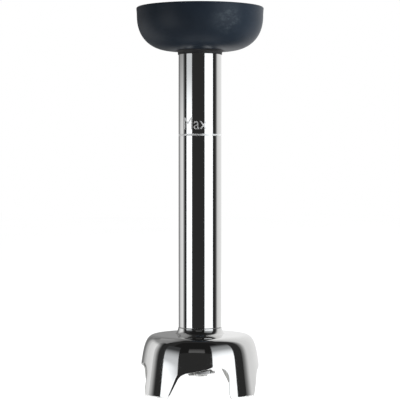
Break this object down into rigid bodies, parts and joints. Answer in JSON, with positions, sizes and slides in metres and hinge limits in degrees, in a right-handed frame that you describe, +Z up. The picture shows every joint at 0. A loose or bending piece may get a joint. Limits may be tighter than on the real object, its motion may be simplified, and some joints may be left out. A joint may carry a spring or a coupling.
{
  "type": "immersion blender leg",
  "caption": "Detachable blending leg: dark cup coupling, polished steel tube with a fill line, and an arched bell guard around a bent two-wing blade on a sprung-dog drive shaft.",
  "frame": {"origin": "centre of the bell's foot, on the surface that the leg stands on", "axes": "+Z up the tube to the coupling cup; -Y is the front, through the middle of one arch; +X is to the right seen from the front"},
  "size_m": [0.0742, 0.0742, 0.224],
  "materials": {
    "cup_plastic": "satin, blue-black",
    "ring_plastic": "satin, glass filled",
    "dog_plastic": "moulded acetal",
    "bush_plastic": "natural nylon",
    "polished_steel": "mirror polished stainless",
    "etched_steel": "laser etched, frosted",
    "turned_steel": "turned stainless",
    "blade_steel": "ground and polished",
    "spring_steel": "oiled spring steel",
    "bearing_steel": "ground and lapped",
    "carrier_aluminium": "turned",
    "bronze": "sintered, oil filled",
    "black_rubber": "moulded, matt"
  },
  "bodies": {
    "leg": {"collar_shell": "cup_plastic", "bayonet_ring": "ring_plastic", "collar_screws": "turned_steel", "cup_gasket": "black_rubber", "neck_seal": "black_rubber", "tube": "polished_steel", "tube_flange": "turned_steel", "fill_line": "etched_steel", "bearing_carrier": "carrier_aluminium", "outer_race": "bearing_steel", "bearing_shields": "turned_steel", "carrier_circlip": "spring_steel", "damping_bush": "bush_plastic", "bell_guard": "polished_steel", "clamp_nut": "turned_steel", "hub_housing": "turned_steel", "housing_o_ring": "black_rubber", "lower_bush": "bronze", "lip_seal": "black_rubber", "seal_circlip": "spring_steel"},
    "driveline": {"drive_shaft": "turned_steel", "inner_race": "bearing_steel", "shaft_clips": "spring_steel", "spring_seat": "turned_steel", "coupling_spring": "spring_steel", "drive_pin": "bearing_steel", "slinger": "turned_steel", "blade_hub": "turned_steel", "blade": "blade_steel", "blade_screw": "turned_steel"},
    "bearing_cage": {"bearing_balls": "bearing_steel", "ball_cage": "bronze"},
    "drive_coupling": {"drive_dog": "dog_plastic"}
  },
  "joints": [
    {"name": "drive_spin", "type": "hinge", "parent": "leg", "child": "driveline", "pos_m": [0, 0, 0.1], "axis": [0, 0, 1], "continuous": true},
    {"name": "cage_spin", "type": "hinge", "parent": "leg", "child": "bearing_cage", "pos_m": [0, 0, 0.197], "axis": [0, 0, 1], "continuous": true},
    {"name": "dog_slide", "type": "slide", "parent": "driveline", "child": "drive_coupling", "axis": [0, 0, 1], "range_m": [-0.003, 0], "stiffness_N_per_m": 1500, "springref_m": 0.002, "deforming": ["coupling_spring"]}
  ],
  "couplings": [
    {"joint": "cage_spin", "follows": "drive_spin", "ratio": 0.36}
  ]
}
